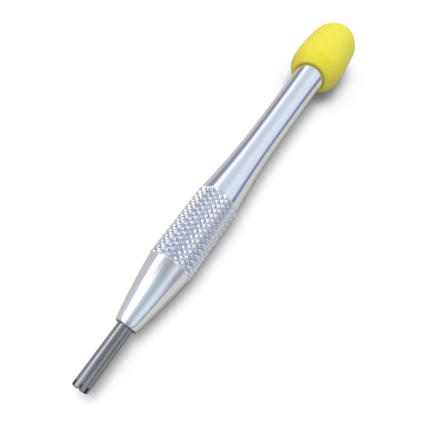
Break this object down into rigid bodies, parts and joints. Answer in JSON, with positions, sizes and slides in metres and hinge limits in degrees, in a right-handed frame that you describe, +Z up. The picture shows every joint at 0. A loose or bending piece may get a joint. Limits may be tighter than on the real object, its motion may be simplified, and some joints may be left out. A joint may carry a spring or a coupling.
{
  "type": "watch screwdriver",
  "caption": "Slim turned metal screwdriver with a diamond-knurled grip, a castellated steel blade and a yellow finger cap that spins on the end.",
  "frame": {"origin": "middle of the tool's length, on the plane that the cap's lowest point touches", "axes": "+X along the tool from the blade's tip to the cap, +Z up"},
  "size_m": [0.1, 0.0124, 0.0125],
  "materials": {
    "polished_aluminium": "turned and polished, the grip diamond-knurled",
    "ground_steel": "ground, fine marks round the axis",
    "dark_steel": "blackened",
    "polished_steel": "polished",
    "bush_brass": "turned",
    "yellow_plastic": "satin moulded"
  },
  "bodies": {
    "handle": {"handle": "polished_aluminium", "pivot_screw": "ground_steel", "thrust_washer": "ground_steel"},
    "cap": {"cap": "yellow_plastic", "cap_bush": "bush_brass", "thrust_ball": "polished_steel", "ball_seat": "ground_steel"},
    "blade": {"blade": "ground_steel"},
    "set_screw": {"blade_set_screw": "dark_steel"}
  },
  "joints": [
    {"name": "cap_spin", "type": "hinge", "parent": "handle", "child": "cap", "pos_m": [0.037, 0, 0.00624], "axis": [1, 0, 0], "continuous": true},
    {"name": "blade_draw", "type": "slide", "parent": "handle", "child": "blade", "axis": [-1, 0, 0], "range_m": [0, 0.0105]},
    {"name": "set_screw_back_out", "type": "slide", "parent": "handle", "child": "set_screw", "axis": [0, 0.8192, -0.5736], "range_m": [0, 0.0012]}
  ]
}
